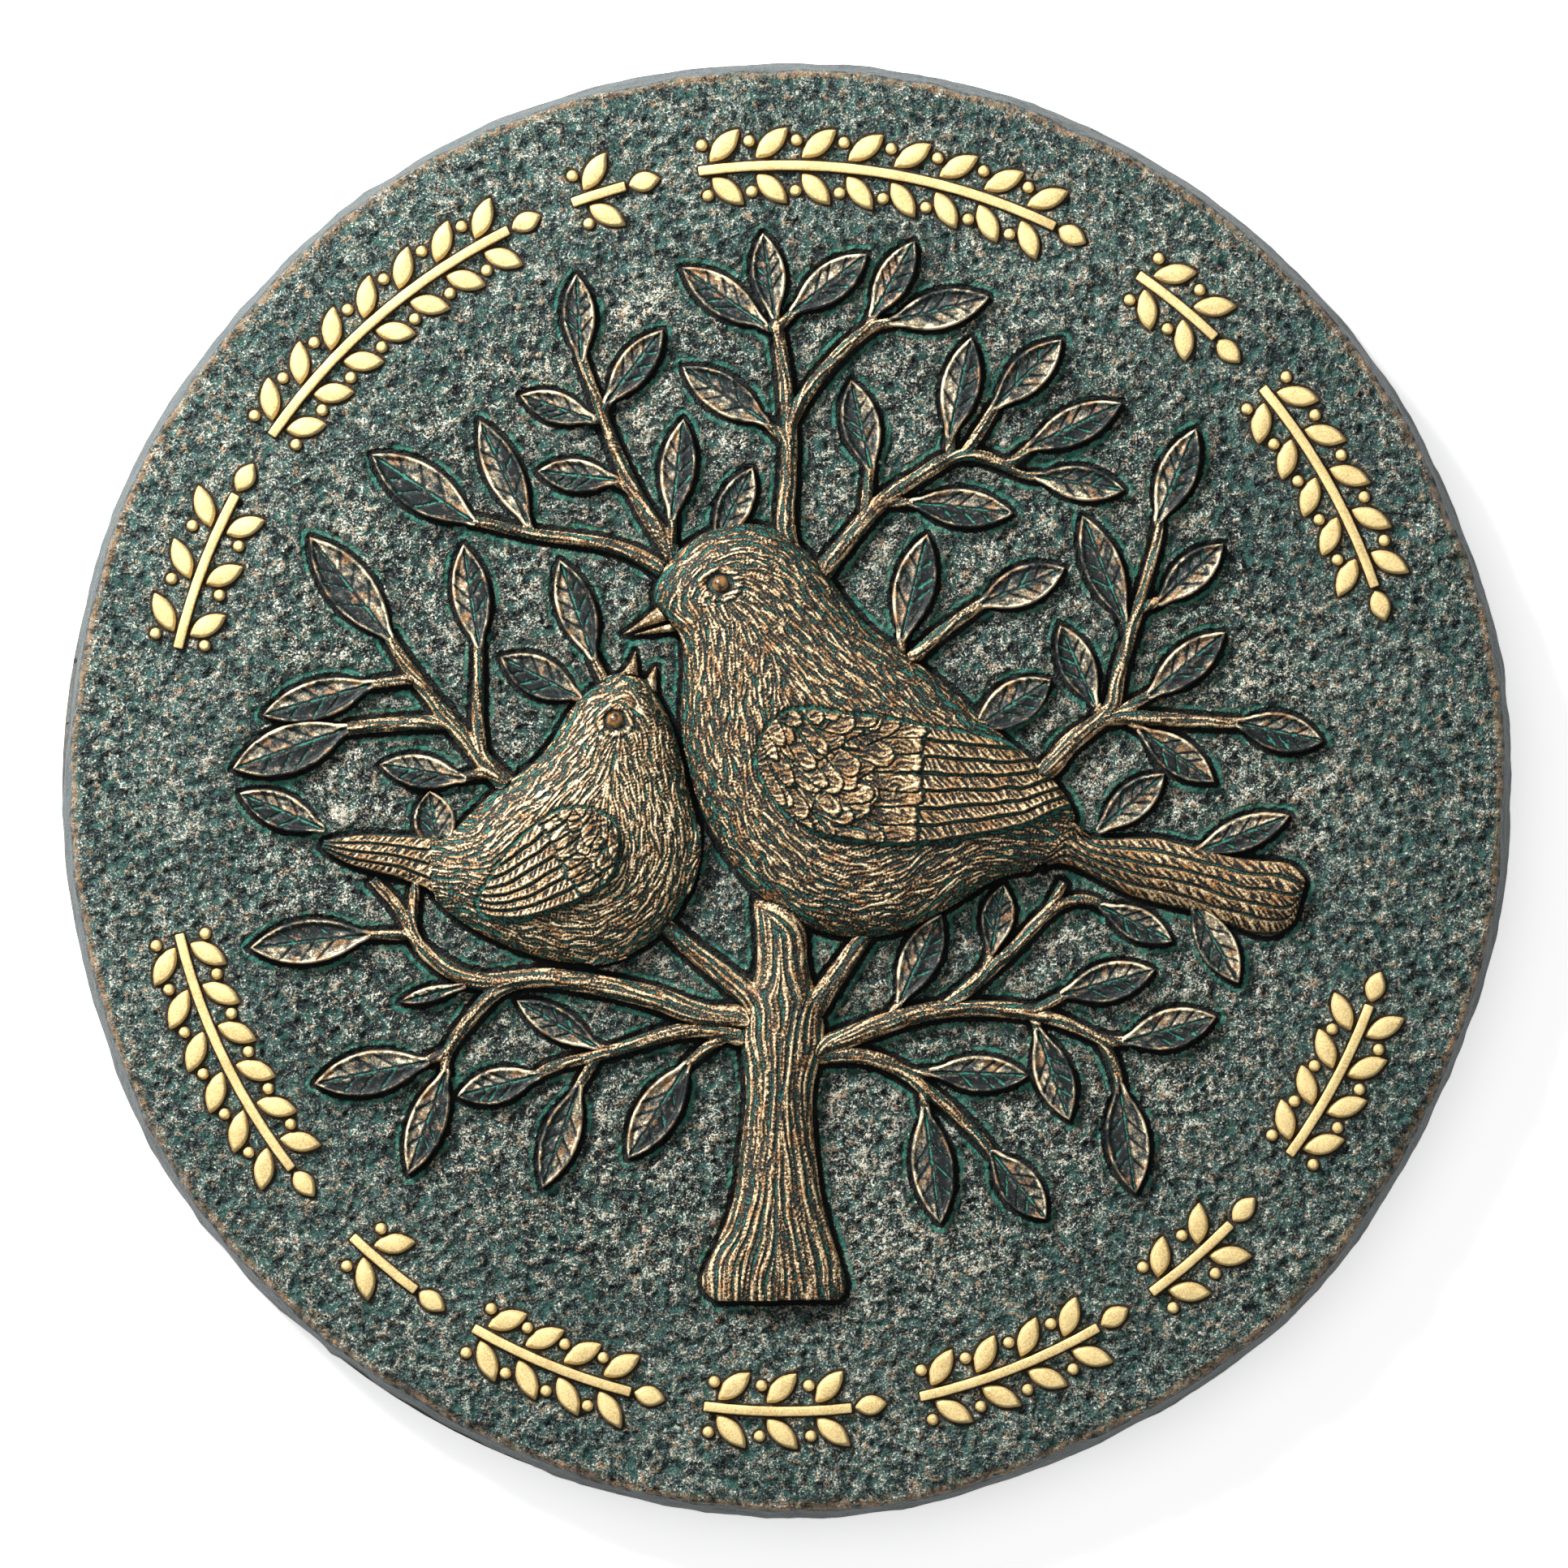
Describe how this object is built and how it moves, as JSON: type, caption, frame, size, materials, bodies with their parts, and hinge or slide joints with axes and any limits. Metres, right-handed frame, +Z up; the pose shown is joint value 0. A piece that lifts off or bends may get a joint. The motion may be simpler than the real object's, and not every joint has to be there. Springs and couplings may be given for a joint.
{
  "type": "garden stepping stone",
  "caption": "Round cast stone plaque for a garden path or wall, with a tree of life and two birds in bronze-look relief, gold leaf sprigs round the border and a keyhole plate in the back.",
  "frame": {"origin": "centre of the disc at its underside", "axes": "+Z up out of the sculpted face, +Y towards the top of the picture, +X to its right"},
  "size_m": [0.3, 0.3, 0.0315],
  "materials": {
    "stone": "rough cast resin stone, dark teal and slate patina with copper dry-brushing",
    "bark": "cast resin stone with antique bronze paint",
    "leaves": "cast resin stone with antique bronze paint and dark green hollows",
    "plumage": "cast resin stone with antique bronze and gold paint",
    "eyes": "brown paint, slightly glossy",
    "gold": "matte gold paint",
    "steel": "zinc plated"
  },
  "bodies": {
    "root": {"adult_bird_bill": "plumage", "adult_bird_body": "plumage", "adult_bird_eye": "eyes", "adult_bird_tail": "plumage", "adult_bird_wing": "plumage", "bough_far_left": "bark", "bough_far_right": "bark", "bough_hanging_right": "bark", "bough_left": "bark", "bough_low_left": "bark", "bough_lower_left": "bark", "bough_lower_right": "bark", "bough_right": "bark", "bough_rising_right": "bark", "bough_top": "bark", "bough_upper_left": "bark", "bough_upper_right": "bark", "keyhole_plate": "steel", "leaves_far_left": "leaves", "leaves_far_right": "leaves", "leaves_hanging_right": "leaves", "leaves_left": "leaves", "leaves_low_left": "leaves", "leaves_lower_left": "leaves", "leaves_lower_right": "leaves", "leaves_right": "leaves", "leaves_rising_right": "leaves", "leaves_top": "leaves", "leaves_upper_left": "leaves", "leaves_upper_right": "leaves", "lower_border_sprigs": "gold", "plate_screws": "steel", "stone_disc": "stone", "tree_trunk": "bark", "upper_border_sprigs": "gold", "young_bird_bill": "plumage", "young_bird_body": "plumage", "young_bird_eye": "eyes", "young_bird_tail": "plumage", "young_bird_wing": "plumage"}
  },
  "joints": []
}
